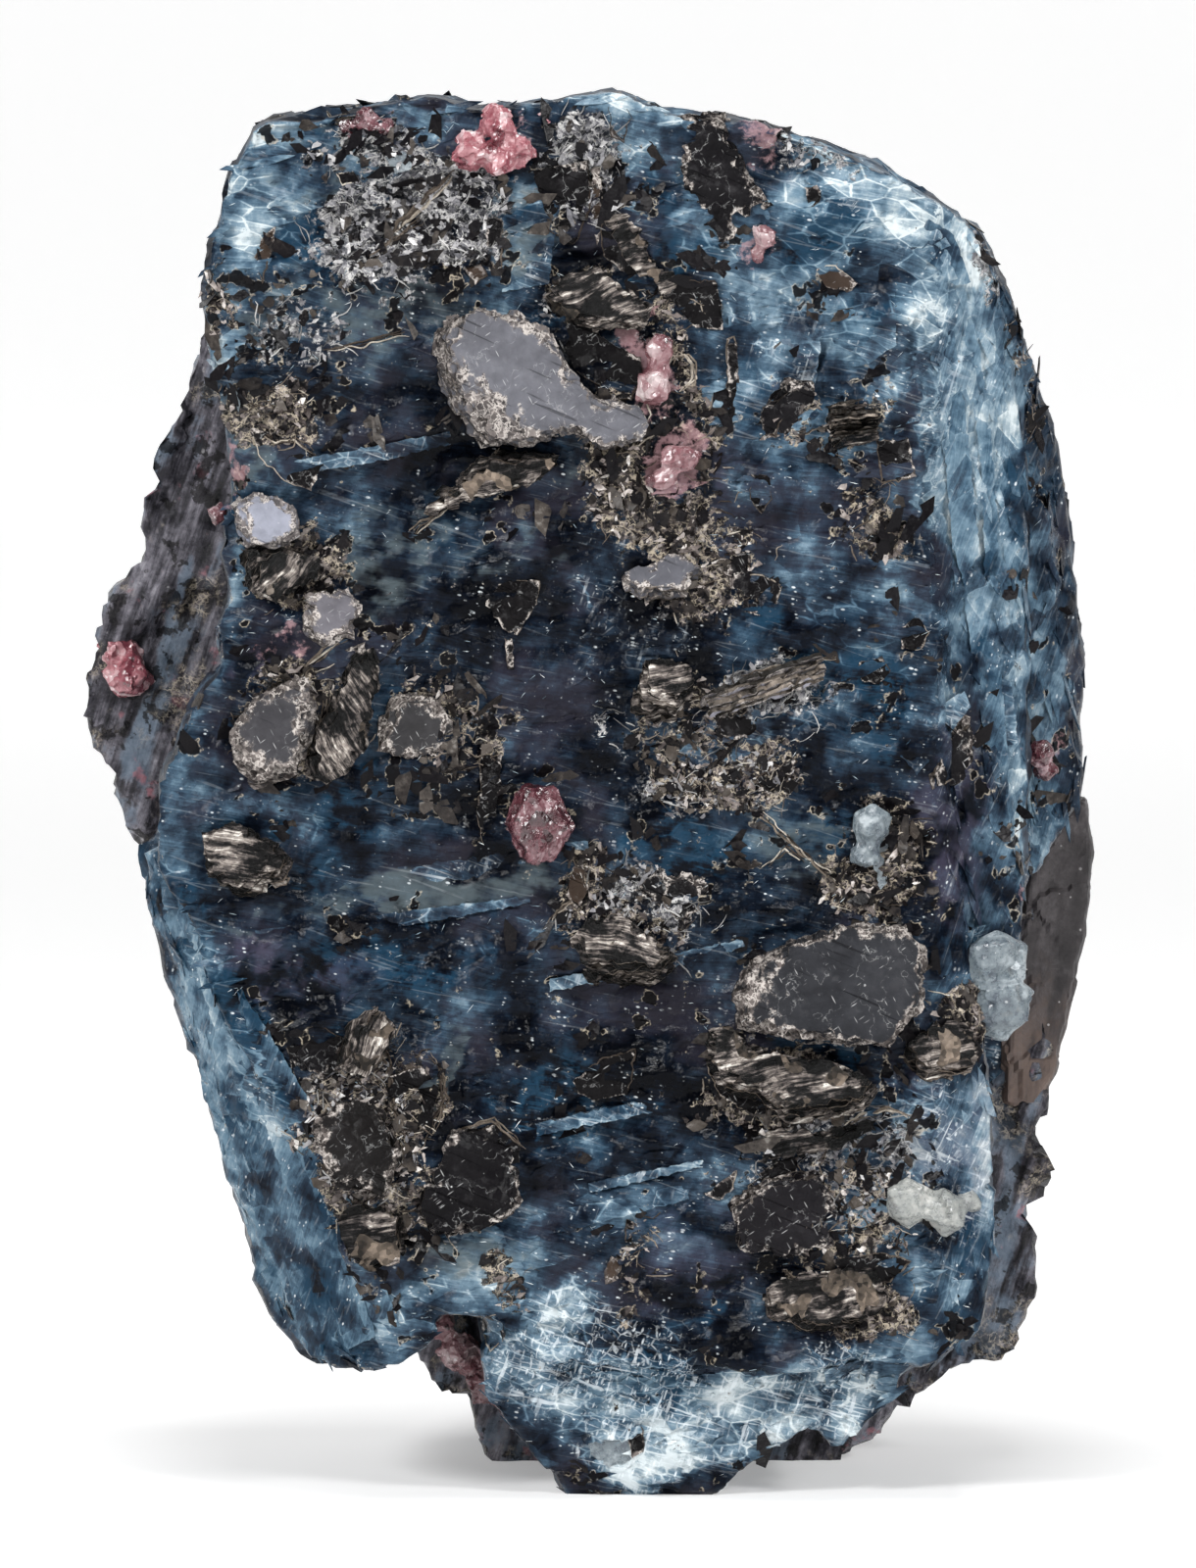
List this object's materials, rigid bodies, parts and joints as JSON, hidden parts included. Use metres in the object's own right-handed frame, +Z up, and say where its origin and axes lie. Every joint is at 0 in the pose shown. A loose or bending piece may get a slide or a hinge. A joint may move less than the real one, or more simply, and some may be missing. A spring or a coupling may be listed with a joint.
{
  "type": "mineral specimen",
  "caption": "Upright mineral specimen of blue kyanite blades on dark mica schist, set with mica books and small red garnet crystals, standing on a flat broken foot.",
  "frame": {"origin": "on the flat broken foot that the stone stands on, below the middle of the broad face", "axes": "+Z up along the kyanite blades' height, +X to the viewer's right across the broad face, +Y away from the viewer through the stone's thickness"},
  "size_m": [0.0282, 0.0188, 0.0401],
  "materials": {
    "kyanite": "deep blue to pale blue, glassy to pearly cleavage",
    "schist": "dark, rough, sparkling",
    "mica_grey": "grey with a pearly sheen",
    "mica_black": "black and glossy",
    "mica_bronze": "bronze brown sheet edges, glossy",
    "garnet": "raspberry red, glassy",
    "quartz": "whitish, glassy to greasy"
  },
  "bodies": {
    "root": {"kyanite_blades": "kyanite", "schist_matrix": "schist", "mica_book_under_plate": "mica_bronze", "mica_centre_black": "mica_black", "mica_centre_fringe": "mica_grey", "mica_centre_ribbed": "mica_grey", "mica_centre_slats": "mica_grey", "mica_cluster_black_a": "mica_black", "mica_cluster_black_b": "mica_black", "mica_cluster_brown": "mica_bronze", "mica_cluster_curl": "mica_bronze", "mica_cluster_great_black": "mica_black", "mica_cluster_grey": "mica_grey", "mica_great_plate": "mica_grey", "mica_left_blade_a": "mica_grey", "mica_left_blade_b": "mica_bronze", "mica_left_blade_c": "mica_grey", "mica_left_curl": "mica_grey", "mica_left_edge_plates": "mica_bronze", "mica_left_nub": "mica_grey", "mica_left_tile": "mica_grey", "mica_low_band": "mica_bronze", "mica_low_bronze": "mica_bronze", "mica_low_plates": "mica_grey", "mica_lower_black": "mica_black", "mica_lower_silver": "mica_grey", "mica_plate_edges": "mica_bronze", "mica_right_leaf": "mica_black", "mica_right_pair": "mica_black", "mica_right_ribbed": "mica_grey", "mica_slab_right": "mica_grey", "mica_tall_black": "mica_black", "mica_top_band": "mica_bronze", "mica_upper_bronze": "mica_bronze", "mica_upper_core": "mica_black", "mica_upper_flap": "mica_bronze", "mica_upper_grey": "mica_grey", "garnet_crystal": "garnet", "garnet_left_low": "garnet", "garnet_left_rim": "garnet", "garnet_left_tip": "garnet", "garnet_low_right": "garnet", "garnet_right_rim": "garnet", "garnet_top_cluster": "garnet", "garnet_top_left": "garnet", "garnet_top_right": "garnet", "garnet_under_seam": "garnet", "garnet_vein": "garnet", "garnet_vein_low": "garnet", "quartz_low_lump": "quartz", "quartz_patch": "quartz", "quartz_right_chip": "quartz"}
  },
  "joints": []
}
